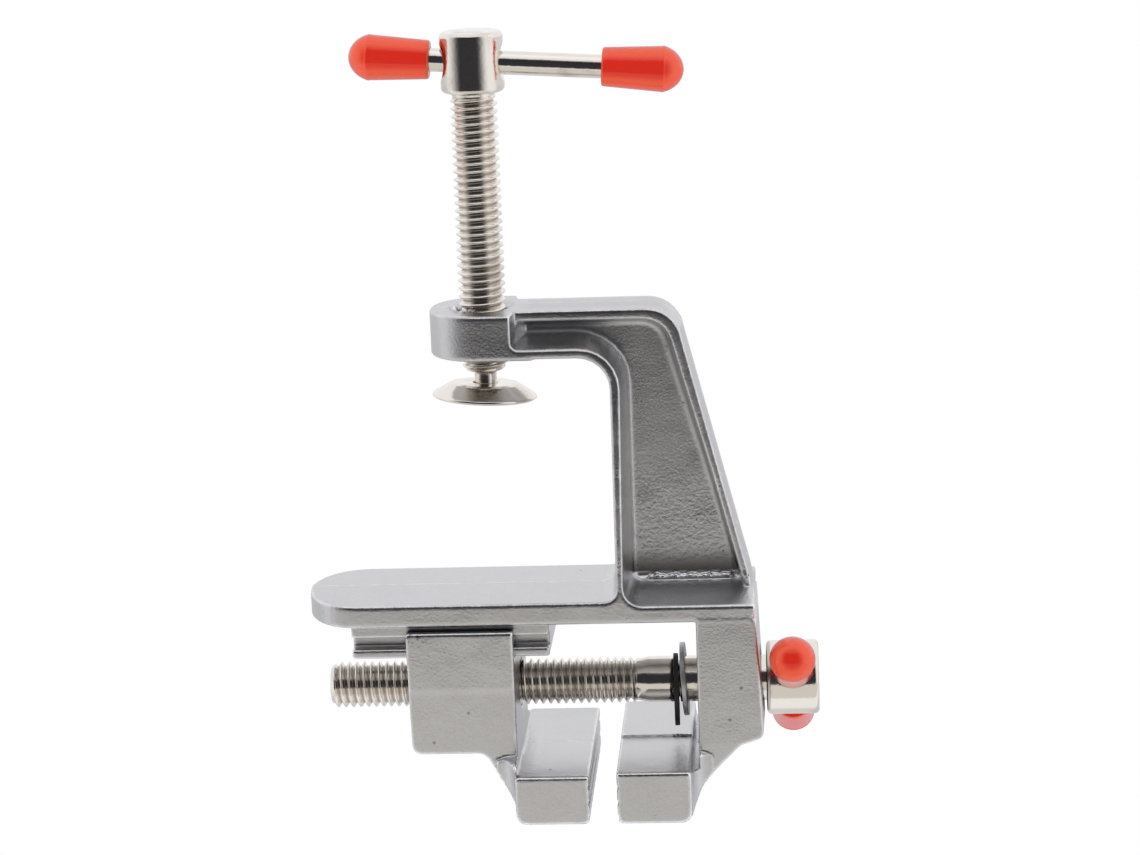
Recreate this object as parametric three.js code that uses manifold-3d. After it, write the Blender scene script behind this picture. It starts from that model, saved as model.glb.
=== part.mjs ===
// A small clamp-on bench vise, in millimetres.
// The origin lies on the seat, the face of the frame casting that rests on the bench,
// where the clamp screw's axis meets it. +Z is up, towards the jaws. +X runs along the
// vise screw, away from its head and towards the tongue's round end.
import * as THREE from 'three';
import { mergeVertices } from 'three/addons/utils/BufferGeometryUtils.js';
import Module from 'manifold-3d';

const wasm = await Module();
wasm.setup();

// ---- driving dimensions ----------------------------------------------------------------
const CLEARANCE = 0.35; // all round each screw in its bore
const SEGMENTS = 32; // sides of a turned piece
const DRAFT_WIDTH = 11.9; // half width of the leg and of the nut block

const PLATE = { thickness: 3.6, halfWidth: 11.15, back: -42.2, straightEnd: 21.6, tip: 30.1 };
const RAIL = { start: -9.2, end: 22.6, halfWidth: 10, bottom: 9.1, grooveLow: 5.6, grooveHigh: 7.6, grooveDepth: 2.2 };
const LEG = { inner: -32.75, outer: -43.1, shoulder: 22.8 };
const JAW = { halfWidth: 17.5, top: 35.0, corner: 1.2 };
const FIXED_JAW = { face: -19.6, back: -31.5, underside: 26.5 };
const MOVING_JAW = { face: -15.2, back: -3.4, underside: 27.0 };
const NUT_BLOCK = { inner: -3.5, outer: 13.7, low: 4.5, high: 24.9 };

const BOSS = { radius: 8.5, low: -46.3, high: -39.2, shoulder: -4.8 };
const ARM = { throat: -20.3, webHalf: 2.2, backHalf: 5.5, ribWidth: 1.6, baseBack: -41.2, kneeBack: -31.4 };

const VISE_SCREW = { z: 16.5, radius: 3.75, tip: 27.5, threadEnd: -21.3, headFace: -43.7, headLength: 8.5, headRadius: 6 };
const CLIP = { x: -28.6, thickness: 0.8, radius: 6, inner: 3.25, drop: 1.6, mouth: 3.2, grooveRadius: 2.95 };
const WASHER = { x: -30.35, thickness: 0.8, radius: 6, inner: 4.2, tilt: 3 };

const CLAMP_SCREW = { radius: 3.75, threadEnd: -35.5, threadTop: -80.0, neckRadius: 1.75 };
const CLAMP_HEAD = { radius: 5, low: -80.6, high: -90.1 };
const PAD = { x: 0.3, face: -31.4, radius: 8.4, rim: 0.6, plateau: 5.6, height: 2.5, recess: 3.4, recessDepth: 0.7 };
const PAD_TILT = { aboutX: 3.4, aboutY: 3.5 }; // it hangs loose on its rivet

const BAR = { radius: 1.85, hole: 2.3, countersink: 3.0, countersinkDepth: 1.1 };
const CAP = { length: 12.8, openRadius: 3.05, wideRadius: 3.6, overlap: 9 };
const CLAMP_BAR = { left: 19.4, right: -33.2, tilt: 4 };
const VISE_BAR = { near: 19.3, far: 36, tilt: 28 };

const radians = THREE.MathUtils.degToRad;

// ---- solids ------------------------------------------------------------------------------
function solid(geometry) {
  const bare = geometry.index ? geometry.clone() : geometry;
  bare.deleteAttribute('normal');
  bare.deleteAttribute('uv');
  const merged = mergeVertices(bare, 1e-4);
  return new wasm.Manifold(new wasm.Mesh({
    numProp: 3,
    vertProperties: new Float32Array(merged.attributes.position.array),
    triVerts: new Uint32Array(merged.index.array),
  }));
}

function union(...solids) {
  return solids.reduce((whole, piece) => whole.add(piece));
}

function geometryOf(manifold) {
  const mesh = manifold.getMesh();
  const geometry = new THREE.BufferGeometry();
  geometry.setAttribute('position', new THREE.BufferAttribute(new Float32Array(mesh.vertProperties), 3));
  geometry.setIndex(new THREE.BufferAttribute(new Uint32Array(mesh.triVerts), 1));
  geometry.computeVertexNormals();
  return geometry;
}

function box(x0, x1, y0, y1, z0, z1) {
  const block = new THREE.BoxGeometry(x1 - x0, y1 - y0, z1 - z0);
  return solid(block.translate((x0 + x1) / 2, (y0 + y1) / 2, (z0 + z1) / 2));
}

// A shape drawn in X and Z, extruded along Y and centred on the plane Y = 0. flare gives
// the half width at a height, so that the sides can spread towards the plate.
function prism(shape, halfWidth, flare = null) {
  const body = new THREE.ExtrudeGeometry(shape, { depth: 2, bevelEnabled: false, curveSegments: 6 });
  body.translate(0, 0, -1).rotateX(Math.PI / 2);
  const position = body.attributes.position;
  for (let i = 0; i < position.count; i += 1) {
    const half = flare ? flare(position.getZ(i)) : halfWidth;
    position.setY(i, Math.sign(position.getY(i)) * half);
  }
  return solid(body);
}

// A turned piece: [radius, height] pairs from one end of the axis to the other.
function turned(profile, segments = SEGMENTS) {
  const points = profile.map(([radius, height]) => new THREE.Vector2(radius, height));
  return new THREE.LatheGeometry(points, segments);
}

const alongX = (geometry) => geometry.rotateZ(-Math.PI / 2);
const alongZ = (geometry) => geometry.rotateX(Math.PI / 2);

function outline(points) {
  const shape = new THREE.Shape();
  shape.moveTo(points[0][0], points[0][1]);
  for (const point of points.slice(1)) {
    if (point.length === 2) shape.lineTo(point[0], point[1]);
    else shape.quadraticCurveTo(point[0], point[1], point[2], point[3]);
  }
  return shape;
}

// ---- frame casting -----------------------------------------------------------------------
function plate() {
  const shape = new THREE.Shape();
  shape.moveTo(PLATE.back, -PLATE.halfWidth);
  shape.lineTo(PLATE.straightEnd, -PLATE.halfWidth);
  const reach = PLATE.tip - PLATE.straightEnd;
  shape.absellipse(PLATE.straightEnd, 0, reach, PLATE.halfWidth, -Math.PI / 2, Math.PI / 2);
  shape.lineTo(PLATE.back, PLATE.halfWidth);
  const options = { depth: PLATE.thickness, bevelEnabled: false, curveSegments: 16 };
  return solid(new THREE.ExtrudeGeometry(shape, options));
}

function rail() {
  const { start, end, halfWidth, bottom, grooveLow, grooveHigh, grooveDepth } = RAIL;
  let bar = box(start, end, -halfWidth, halfWidth, PLATE.thickness - 0.5, bottom);
  const root = halfWidth - grooveDepth;
  bar = bar.subtract(box(start - 1, end + 1, root, halfWidth + 1, grooveLow, grooveHigh));
  return bar.subtract(box(start - 1, end + 1, -halfWidth - 1, -root, grooveLow, grooveHigh));
}

function leg() {
  const { inner, outer, shoulder } = LEG;
  const shape = outline([
    [inner, PLATE.thickness - 0.5],
    [inner, FIXED_JAW.underside - 1.4],
    [inner, FIXED_JAW.underside + 0.4, inner + 1.7, FIXED_JAW.underside + 0.4],
    [inner + 1.7, JAW.top - 0.6],
    [FIXED_JAW.back - 0.1, JAW.top - 1.4],
    [FIXED_JAW.back - 0.5, 31.6, -34.6, 28.9],
    [-36.6, 26.7],
    [-38.4, 24.4, -40.4, 24.0],
    [outer + 0.6, shoulder + 0.5],
    [outer, shoulder, outer, shoulder - 1.6],
    [PLATE.back - 0.1, PLATE.thickness - 0.5],
  ]);
  return prism(shape, DRAFT_WIDTH);
}

function jaw(face, back, underside) {
  const c = JAW.corner;
  const shape = outline([
    [face, underside],
    [back, underside],
    [back, JAW.top - c],
    [back + (face < back ? -c : c), JAW.top],
    [face, JAW.top],
  ]);
  return prism(shape, JAW.halfWidth);
}

function boss() {
  const { radius, low, high, shoulder } = BOSS;
  const disc = turned([[0, low], [radius, low], [radius, high], [0, high]], 48);
  return solid(alongZ(disc)).add(box(shoulder, 0, -radius, radius, low, high));
}

// The C-shaped arm: an I section with a wide rib round the throat, a narrower rib down the
// back, and a web between them.
function throatLine() {
  return [
    [-1, BOSS.high],
    [ARM.throat + 5, BOSS.high],
    [ARM.throat, BOSS.high, ARM.throat, BOSS.high + 5],
    [ARM.throat, -2],
    [ARM.throat, 0, ARM.throat + 2, 0],
    [ARM.throat + 2, 1],
  ];
}

function web() {
  return prism(outline([
    ...throatLine(),
    [ARM.baseBack, 1],
    [ARM.baseBack, -1.3],
    [ARM.kneeBack, -42.8],
    [-30.8, BOSS.low, -26.5, BOSS.low],
    [-1, BOSS.low],
  ]), ARM.webHalf);
}

function throatRib() {
  const w = ARM.ribWidth;
  const taper = (PLATE.halfWidth - BOSS.radius) / BOSS.high;
  return prism(outline([
    ...throatLine(),
    [ARM.throat - 4, 1],
    [ARM.throat - 4, 0],
    [ARM.throat - w, 0, ARM.throat - w, -3],
    [ARM.throat - w, BOSS.high + 5],
    [ARM.throat - w, BOSS.high - w, ARM.throat + 4, BOSS.high - w],
    [-1, BOSS.high - w],
  ]), 0, (z) => PLATE.halfWidth - taper * z);
}

function backRib() {
  const w = ARM.ribWidth;
  return prism(outline([
    [-1, BOSS.low],
    [-1, BOSS.low + w],
    [-26, BOSS.low + w],
    [-29, BOSS.low + w, ARM.kneeBack + w, -42],
    [ARM.baseBack + w + 0.2, -1.3],
    [ARM.baseBack + w + 0.2, 1],
    [ARM.baseBack, 1],
    [ARM.baseBack, -1.3],
    [ARM.kneeBack, -42.8],
    [-30.8, BOSS.low, -26.5, BOSS.low],
  ]), ARM.backHalf);
}

function frameCasting() {
  const body = union(
    plate(), rail(), leg(), jaw(FIXED_JAW.face, FIXED_JAW.back, FIXED_JAW.underside),
    boss(), web(), throatRib(), backRib(),
  );
  const clampBore = CLAMP_SCREW.radius + CLEARANCE;
  const clampHole = alongZ(turned([[0, 0], [clampBore, 0], [clampBore, 12], [0, 12]]));
  const legBore = VISE_SCREW.radius + CLEARANCE;
  const legHole = alongX(turned([[0, 0], [legBore, 0], [legBore, 14], [0, 14]]));
  return body
    .subtract(solid(clampHole.translate(0, 0, BOSS.low - 2)))
    .subtract(solid(legHole.translate(LEG.outer - 1, 0, VISE_SCREW.z)));
}

// ---- moving jaw --------------------------------------------------------------------------
// The nut block hangs on the rail by two lips that reach into its grooves.
function railSlot() {
  const gap = 0.3;
  const low = NUT_BLOCK.low - 1;
  const inner = NUT_BLOCK.inner - 1;
  const outer = NUT_BLOCK.outer + 1;
  const side = RAIL.halfWidth + gap;
  const root = RAIL.halfWidth - RAIL.grooveDepth + gap;
  const slot = box(inner, outer, -side, side, low, RAIL.bottom + gap);
  const lips = [-1, 1].map((hand) => box(
    inner, outer,
    Math.min(hand * root, hand * (side + 1)), Math.max(hand * root, hand * (side + 1)),
    RAIL.grooveLow + gap, RAIL.grooveHigh - gap,
  ));
  return slot.subtract(lips[0]).subtract(lips[1]);
}

function movingJaw() {
  const { inner, outer, low, high } = NUT_BLOCK;
  const block = prism(outline([
    [inner, low],
    [outer, low],
    [outer - 0.2, high - 1.6],
    [outer - 0.2, high, outer - 1.8, high],
    [2.4, high],
    [1.6, high, 1.0, high + 1],
    [-2.6, 31.6],
    [MOVING_JAW.back, 33.0, MOVING_JAW.back, JAW.top - 1.4],
    [MOVING_JAW.back - 1, JAW.top - 0.6],
    [MOVING_JAW.back - 1, MOVING_JAW.underside + 0.4],
    [inner, MOVING_JAW.underside + 0.4],
  ]), DRAFT_WIDTH);
  const bore = VISE_SCREW.radius + CLEARANCE;
  const hole = alongX(turned([[0, 0], [bore, 0], [bore, 24], [0, 24]]));
  return union(block, jaw(MOVING_JAW.face, MOVING_JAW.back, MOVING_JAW.underside))
    .subtract(railSlot())
    .subtract(solid(hole.translate(inner - 3, 0, VISE_SCREW.z)));
}

// ---- vise screw and what it carries ---------------------------------------------------------
// The hole for a tommy bar across a head, countersunk at both ends. It runs along Y.
function crossHole(headRadius) {
  const { hole, countersink, countersinkDepth } = BAR;
  const end = headRadius + 1;
  const lip = headRadius - countersinkDepth;
  const mouth = hole + (countersink - hole) * (end - lip) / countersinkDepth;
  return turned([[0, -end], [mouth, -end], [hole, -lip], [hole, lip], [mouth, end], [0, end]], 24);
}

function viseScrew() {
  const { radius, tip, threadEnd, headFace, headLength, headRadius, z } = VISE_SCREW;
  const groove = CLIP.grooveRadius;
  const g0 = CLIP.x - CLIP.thickness - 0.3;
  const g1 = CLIP.x + 0.3;
  const headEnd = headFace - headLength;
  const rod = alongX(turned([
    [0, headEnd], [headRadius - 0.7, headEnd], [headRadius, headEnd + 0.7],
    [headRadius, headFace - 0.7], [headRadius - 0.7, headFace], [radius, headFace],
    [radius, g0], [groove, g0], [groove, g1], [radius, g1],
    [radius, threadEnd], [radius, tip - 0.9], [radius - 0.9, tip], [0, tip],
  ]));
  const hole = crossHole(headRadius).rotateX(radians(VISE_BAR.tilt));
  return solid(rod).subtract(solid(hole.translate((headFace + headEnd) / 2, 0, 0))).translate([0, 0, z]);
}

// A one-millimetre spring clip, open on the side away from the jaws.
function retainingClip() {
  const shape = new THREE.Shape().absarc(0, CLIP.drop, CLIP.radius, 0, 2 * Math.PI);
  const options = { depth: CLIP.thickness, bevelEnabled: false, curveSegments: 20 };
  const disc = solid(new THREE.ExtrudeGeometry(shape, options));
  const half = CLIP.mouth / 2;
  const eye = turned([[0, -2], [CLIP.inner, -2], [CLIP.inner, 2], [0, 2]], 24);
  const ring = disc
    .subtract(solid(alongZ(eye)))
    .subtract(box(-half, half, -CLIP.radius - 1, 0, -2, 2));
  return new THREE.BufferGeometry().copy(geometryOf(ring)).rotateX(Math.PI / 2).rotateZ(-Math.PI / 2);
}

function thrustWasher() {
  const { thickness, radius, inner } = WASHER;
  const half = thickness / 2;
  return alongX(turned([[inner, -half], [radius, -half], [radius, half], [inner, half], [inner, -half]]));
}

// ---- tommy bars ----------------------------------------------------------------------------
// A bar lies along X from start to end and its caps cover both ends.
function tommyBar(start, end) {
  const room = CAP.length - CAP.overlap;
  const { radius } = BAR;
  const s = start + room;
  const e = end - room;
  return alongX(turned([[0, s], [radius - 0.3, s], [radius, s + 0.3], [radius, e - 0.3], [radius - 0.3, e], [0, e]], 20));
}

// A moulded cap with a blind bore, its open end at the origin and its dome towards +X.
function barCap() {
  const { length, openRadius, wideRadius, overlap } = CAP;
  const bore = BAR.radius + 0.3;
  const dome = length - 3;
  return alongX(turned([
    [0, overlap + 0.3], [bore, overlap + 0.3], [bore, 0], [openRadius, 0], [wideRadius, dome],
    [wideRadius * 0.92, dome + 1.4], [wideRadius * 0.66, dome + 2.5], [wideRadius * 0.3, length - 0.1], [0, length],
  ], 24));
}

// ---- clamp screw and pad -------------------------------------------------------------------
function clampScrew() {
  const { radius, threadEnd, threadTop, neckRadius } = CLAMP_SCREW;
  const { low, high } = CLAMP_HEAD;
  const r = CLAMP_HEAD.radius;
  const neckEnd = PAD.face - PAD.height + 0.8;
  const rod = alongZ(turned([
    [0, high], [r - 0.9, high], [r, high + 0.9], [r, low - 0.8], [r - 0.8, low],
    [radius - 0.4, low], [radius, threadTop], [radius, threadEnd - 0.6],
    [radius - 0.8, threadEnd], [neckRadius, threadEnd], [neckRadius, neckEnd], [0, neckEnd],
  ]));
  const hole = crossHole(r).rotateZ(-Math.PI / 2);
  return solid(rod).subtract(solid(hole.translate(0, 0, (low + high) / 2)));
}

// The pad stands on the screw's neck: a flat-topped dish with a ring-shaped face. It is
// drawn with its face at height 0, and its socket takes the end of the neck.
function pressurePad() {
  const { radius, rim, plateau, height, recess, recessDepth } = PAD;
  const socket = CLAMP_SCREW.neckRadius + 0.35;
  return alongZ(turned([
    [0, 1.1 - height], [socket, 1.1 - height], [socket, -height], [plateau - 0.6, -height],
    [plateau, 0.5 - height], [radius, -rim], [radius, -0.3], [radius - 0.2, 0],
    [recess, 0], [recess, -recessDepth], [0, -recessDepth],
  ]));
}

// ---- materials and assembly ----------------------------------------------------------------
const castAluminium = new THREE.MeshStandardMaterial({ color: 0xb9bac0, roughness: 0.34, metalness: 0.9 });
const nickel = new THREE.MeshStandardMaterial({ color: 0xd8d2c4, roughness: 0.16, metalness: 1 });
const blackSteel = new THREE.MeshStandardMaterial({ color: 0x15151a, roughness: 0.45, metalness: 0.7 });
const zinc = new THREE.MeshStandardMaterial({ color: 0x9c9d9f, roughness: 0.35, metalness: 1 });
const redVinyl = new THREE.MeshStandardMaterial({ color: 0xef4b38, roughness: 0.32, metalness: 0 });

const vise = new THREE.Group();

function place(name, geometry, material, parent = vise) {
  const mesh = new THREE.Mesh(geometry, material);
  mesh.name = name;
  parent.add(mesh);
  return mesh;
}

function placeBar(prefix, start, end, parent) {
  place(`${prefix}_tommy_bar`, tommyBar(start, end), nickel, parent);
  place(`${prefix}_bar_cap_long_side`, barCap(), redVinyl, parent).position.x = end - CAP.length;
  const short = place(`${prefix}_bar_cap_short_side`, barCap(), redVinyl, parent);
  short.position.x = start + CAP.length;
  short.rotation.y = Math.PI;
}

place('frame_casting', geometryOf(frameCasting()), castAluminium);
place('moving_jaw', geometryOf(movingJaw()), castAluminium);
place('vise_screw', geometryOf(viseScrew()), nickel);
place('retaining_clip', retainingClip(), blackSteel).position.set(CLIP.x, 0, VISE_SCREW.z);

const washer = place('thrust_washer', thrustWasher(), zinc);
washer.position.set(WASHER.x, 0, VISE_SCREW.z);
washer.rotation.y = -radians(WASHER.tilt);

// The vise bar's group has its X axis along the bar, from the near end to the far end.
const viseBar = new THREE.Group();
viseBar.position.set(VISE_SCREW.headFace - VISE_SCREW.headLength / 2, 0, VISE_SCREW.z);
viseBar.rotation.set(radians(VISE_BAR.tilt), 0, Math.PI / 2);
vise.add(viseBar);
placeBar('vise', -VISE_BAR.near, VISE_BAR.far, viseBar);

place('clamp_screw', geometryOf(clampScrew()), nickel);
const pad = place('pressure_pad', pressurePad(), nickel);
pad.position.set(PAD.x, 0, PAD.face);
pad.rotation.set(radians(PAD_TILT.aboutX), radians(PAD_TILT.aboutY), 0);

const clampBar = new THREE.Group();
clampBar.position.set(0, 0, (CLAMP_HEAD.low + CLAMP_HEAD.high) / 2);
clampBar.rotation.set(0, radians(CLAMP_BAR.tilt), Math.PI);
vise.add(clampBar);
placeBar('clamp', -CLAMP_BAR.left, -CLAMP_BAR.right, clampBar);

export default vise;
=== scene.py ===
import math

import bmesh
import bpy
import numpy as np
from mathutils import Matrix, Vector


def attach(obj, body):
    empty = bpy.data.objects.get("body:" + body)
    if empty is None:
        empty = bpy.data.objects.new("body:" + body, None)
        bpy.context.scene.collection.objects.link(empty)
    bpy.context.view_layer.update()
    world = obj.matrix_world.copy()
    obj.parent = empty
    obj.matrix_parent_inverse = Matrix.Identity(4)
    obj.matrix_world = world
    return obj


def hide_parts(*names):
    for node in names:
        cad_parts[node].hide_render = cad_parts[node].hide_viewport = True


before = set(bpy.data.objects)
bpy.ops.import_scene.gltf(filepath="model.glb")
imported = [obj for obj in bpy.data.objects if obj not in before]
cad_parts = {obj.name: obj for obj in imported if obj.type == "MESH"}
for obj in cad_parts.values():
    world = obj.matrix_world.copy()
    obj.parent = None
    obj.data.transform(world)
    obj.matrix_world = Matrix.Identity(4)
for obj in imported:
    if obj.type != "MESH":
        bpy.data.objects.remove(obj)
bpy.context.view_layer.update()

MM = 0.001  # sizes are written in millimetres, and the row's unit is the metre
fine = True


# ---- frame casting -----------------------------------------------------------------------
# One aluminium die casting carries everything: the tongue that sits on the bench, the rail
# under the moving jaw, the leg with the fixed jaw, and the pocketed arm that ends in the
# threaded boss. It is cast in two halves that part on the plane Y = 0, then tumbled.
CASTING_STEP = 0.35 if fine else 0.6  # mm between the points of a casting's field

SEAT_HALF, PLATE_THICK, PLATE_HEEL = 11.15, 3.6, 1.2
PLATE_BACK, PLATE_STRAIGHT, PLATE_TIP = -42.2, 21.6, 30.1
RAIL_START, RAIL_END, RAIL_HALF, RAIL_LOW = -9.2, 22.6, 10.0, 9.1
GROOVE_FROM, GROOVE_TO, GROOVE_DEPTH = 5.6, 7.6, 2.2
LEG_HALF, LEG_INNER, LEG_OUTER = 11.9, -32.75, -43.15
LEG_TUCK, LEG_SPREAD, LEG_SPREAD_HEIGHT, LEG_SINK = 0.72, 0.55, 20, 0.3
JAW_HALF, JAW_TOP, JAW_EDGE = 17.5, 35.0, 0.38
GRIP_GROOVES = (28.9, 31.5, 34.0)
FIXED_FACE, FIXED_BACK, FIXED_UNDER, FIXED_STEP = -19.6, -31.5, 26.5, 0.45
BOSS_RADIUS, BOSS_MIDDLE, BOSS_HALF_HEIGHT = 8.5, -42.6, 3.75
THROAT_X, THROAT_Z, BEAM_LOW = -20.3, -39.2, -46.1
WEB_HALF, BACK_RIB_HALF = 2.2, 5.5
FOOT_FILLET = 2.0
POCKET_NEAR_BOSS, POCKET_END_X, POCKET_END_Z = -4.85, -8.2, -43.1
BEAD_FROM, BEAD_TO, BEAD_OUT, BEAD_Z, BEAD_RADIUS = -38.8, -24.9, 2.75, -1.7, 0.38
VISE_AXIS = 16.5
TAPPED_RADIUS, TAPPED_MOUTH, LEG_BORE = 4.05, 4.9, 4.0
DRAFT = math.tan(math.radians(3.3))
SEAT_LEAN = math.tan(math.radians(2.2))
POCKET_DRAFT = math.tan(math.radians(15))


def lattice(low, high, step):
    """Three open grids of coordinates, in mm, that broadcast to one field."""
    x, y, z = (np.arange(a, b + step, step, dtype=np.float32) for a, b in zip(low, high))
    return x[:, None, None], y[None, :, None], z[None, None, :]


def common(a, b, radius):
    """What two shapes share, with the edge between them rounded. Inside is negative."""
    over = np.hypot(np.maximum(a + radius, 0), np.maximum(b + radius, 0))
    return np.minimum(np.maximum(a, b), -radius) + over


def joined(a, b, radius):
    """Two shapes joined, with a fillet between them."""
    return -common(-a, -b, radius)


def cut(a, b, radius):
    """Shape a with b taken out of it, the new edges rounded."""
    return common(a, -b, radius)


def between(value, low, high):
    """Distance outside the slab from low to high."""
    return np.abs(value - (low + high) / 2) - (high - low) / 2


def filleted(corners, steps=6):
    """An outline's points: each corner is (u, v) or (u, v, radius), and a radius makes an arc."""
    points = []
    for i, corner in enumerate(corners):
        here = Vector(corner[:2])
        if len(corner) == 2:
            points.append(tuple(here))
            continue
        before = (Vector(corners[i - 1][:2]) - here).normalized()
        after = (Vector(corners[(i + 1) % len(corners)][:2]) - here).normalized()
        half = before.angle(after) / 2
        centre = here + (before + after).normalized() * (corner[2] / math.sin(half))
        start = here + before * (corner[2] / math.tan(half)) - centre
        turn = start.angle_signed(here + after * (corner[2] / math.tan(half)) - centre)
        for k in range(steps + 1):
            points.append(tuple(centre + Matrix.Rotation(-turn * k / steps, 2) @ start))
    return points


def outline_field(u, v, points):
    """Signed distance to a closed outline, negative inside."""
    shape = np.broadcast_shapes(u.shape, v.shape)
    nearest = np.full(shape, 1e9, dtype=np.float32)
    inside = np.zeros(shape, dtype=bool)
    for (au, av), (bu, bv) in zip(points, points[1:] + points[:1]):
        eu, ev = bu - au, bv - av
        along = ((u - au) * eu + (v - av) * ev) / max(eu * eu + ev * ev, 1e-9)
        along = np.clip(along, 0, 1)
        nearest = np.minimum(nearest, (u - au - eu * along) ** 2 + (v - av - ev * along) ** 2)
        if abs(ev) > 1e-9:
            crosses = (av <= v) != (bv <= v)
            inside ^= crosses & (u < au + (v - av) * eu / ev)
    return np.where(inside, -1, 1).astype(np.float32) * np.sqrt(nearest)


def slab_of(outline, across, half, edge, draft=0.0):
    """An outline's field swept to half each way of the middle plane, with drafted sides."""
    beyond = np.abs(across) - half
    return common(outline + beyond * draft, beyond, edge)


def skin(name, shape, low, high, step):
    """The mesh of a shape's surface: one point in each lattice cell that the surface passes
    through, moved onto it, and a quad round each lattice edge that it cuts."""
    field = shape(*lattice(low, high, step))
    inside = field < 0
    corners = [(i, j, k) for i in (0, 1) for j in (0, 1) for k in (0, 1)]
    nx, ny, nz = (n - 1 for n in field.shape)
    count = sum(inside[i:i + nx, j:j + ny, k:k + nz].astype(np.uint8) for i, j, k in corners)
    cells = np.argwhere((count > 0) & (count < 8))
    values = {c: field[tuple((cells + c).T)] for c in corners}
    total = np.zeros((len(cells), 3))
    hits = np.zeros(len(cells))
    for corner in corners:
        for axis in range(3):
            if corner[axis]:
                continue
            far = tuple(c + (n == axis) for n, c in enumerate(corner))
            a, b = values[corner], values[far]
            crossed = (a < 0) != (b < 0)
            share = np.where(crossed, a / np.where(crossed, a - b, 1), 0)
            point = np.tile(np.array(corner, dtype=float), (len(cells), 1))
            point[:, axis] += share
            total += point * crossed[:, None]
            hits += crossed
    points = (cells + total / hits[:, None]) * step + np.array(low)
    points = settled(points, shape, step)
    number = np.full((nx, ny, nz), -1, dtype=np.int32)
    number[tuple(cells.T)] = np.arange(len(cells))
    faces = []
    for axis in range(3):
        first = np.take(inside, range(field.shape[axis] - 1), axis)
        second = np.take(inside, range(1, field.shape[axis]), axis)
        edge = np.argwhere(first != second)
        solid_first = first[tuple(edge.T)]
        one, two = (axis + 1) % 3, (axis + 2) % 3
        ring = []
        for a, b in ((-1, -1), (0, -1), (0, 0), (-1, 0)):
            cell = edge.copy()
            cell[:, one] += a
            cell[:, two] += b
            ring.append(number[tuple(cell.T)])
        ring = np.stack(ring, 1)
        ring[~solid_first] = ring[~solid_first][:, ::-1]
        faces.append(ring)
    return mesh_object(name, points, np.concatenate(faces))


def settled(points, shape, step):
    """Points moved along the slope of a shape's field until they lie on its surface."""
    nudge = step * 0.02
    for _ in range(2):
        x, y, z = points.T
        here = shape(x, y, z)
        slope = np.stack([
            shape(x + nudge, y, z) - here,
            shape(x, y + nudge, z) - here,
            shape(x, y, z + nudge) - here,
        ], 1) / nudge
        size = np.maximum((slope ** 2).sum(1), 0.25)
        move = -slope * (here / size)[:, None]
        points = points + np.clip(move, -step * 0.4, step * 0.4)
    return points


def mesh_object(name, points_mm, faces, smooth=True):
    """A new object from points in mm and faces by number, in the row's frame."""
    mesh = bpy.data.meshes.new(name)
    mesh.from_pydata((np.asarray(points_mm) * MM).tolist(), [], [list(map(int, f)) for f in faces])
    mesh.validate()
    mesh.polygons.foreach_set("use_smooth", [smooth] * len(mesh.polygons))
    thing = bpy.data.objects.new(name, mesh)
    bpy.context.collection.objects.link(thing)
    return thing


def plate_field(x, y, z):
    """The tongue, with a round end drawn as half an ellipse, and a rounded heel."""
    reach = PLATE_TIP - PLATE_STRAIGHT
    turns = np.linspace(-math.pi / 2, math.pi / 2, 25)
    end = [(PLATE_STRAIGHT + reach * math.cos(t), SEAT_HALF * math.sin(t)) for t in turns]
    shape = outline_field(x, y, [(PLATE_BACK, SEAT_HALF), (PLATE_BACK, -SEAT_HALF)] + end)
    crown = np.maximum(SEAT_HALF - np.abs(y), 0) * SEAT_LEAN
    back = np.maximum(PLATE_BACK + PLATE_HEEL - x, 0)
    heel = np.hypot(back, np.maximum(z - PLATE_THICK + PLATE_HEEL, 0)) - PLATE_HEEL
    tongue = common(shape, np.maximum(-crown - z, z - PLATE_THICK), 0.45)
    return np.maximum(tongue, heel)


def rail_field(x, y, z):
    """A rail of the plate's own metal, grooved on both sides for the moving jaw's lips."""
    root = RAIL_HALF - GROOVE_DEPTH
    section = [
        (-RAIL_HALF, 2), (-RAIL_HALF, GROOVE_FROM), (-root, GROOVE_FROM), (-root, GROOVE_TO),
        (-RAIL_HALF, GROOVE_TO), (-RAIL_HALF, RAIL_LOW), (RAIL_HALF, RAIL_LOW),
        (RAIL_HALF, GROOVE_TO), (root, GROOVE_TO), (root, GROOVE_FROM),
        (RAIL_HALF, GROOVE_FROM), (RAIL_HALF, 2),
    ]
    return common(outline_field(y, z, section), between(x, RAIL_START, RAIL_END), 0.35)


LEG_PROFILE = filleted([
    (LEG_INNER, 1.5), (LEG_INNER, 27.5), (-31.0, 27.5), (-31.0, 34.2), (-31.6, 34.2),
    (-33.2, 30.4, 5.0), (-39.3, 24.2, 2.5), (LEG_OUTER, 22.9, 1.2), (-42.3, 1.5),
])


def leg_field(x, y, z):
    """The leg, which widens a little away from the plate, and the gusset that backs the
    fixed jaw."""
    spread = LEG_SPREAD * np.clip((z - PLATE_THICK) / LEG_SPREAD_HEIGHT, 0, 1)
    half = LEG_HALF - LEG_TUCK + spread
    leg = slab_of(outline_field(x, z, LEG_PROFILE), y, half, 0.4, DRAFT / 3)
    leg = np.maximum(leg, PLATE_THICK - LEG_SINK - z)
    return np.minimum(leg, web_corner(x, y, z, FIXED_BACK, -1, FIXED_UNDER, LEG_PROFILE))


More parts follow.
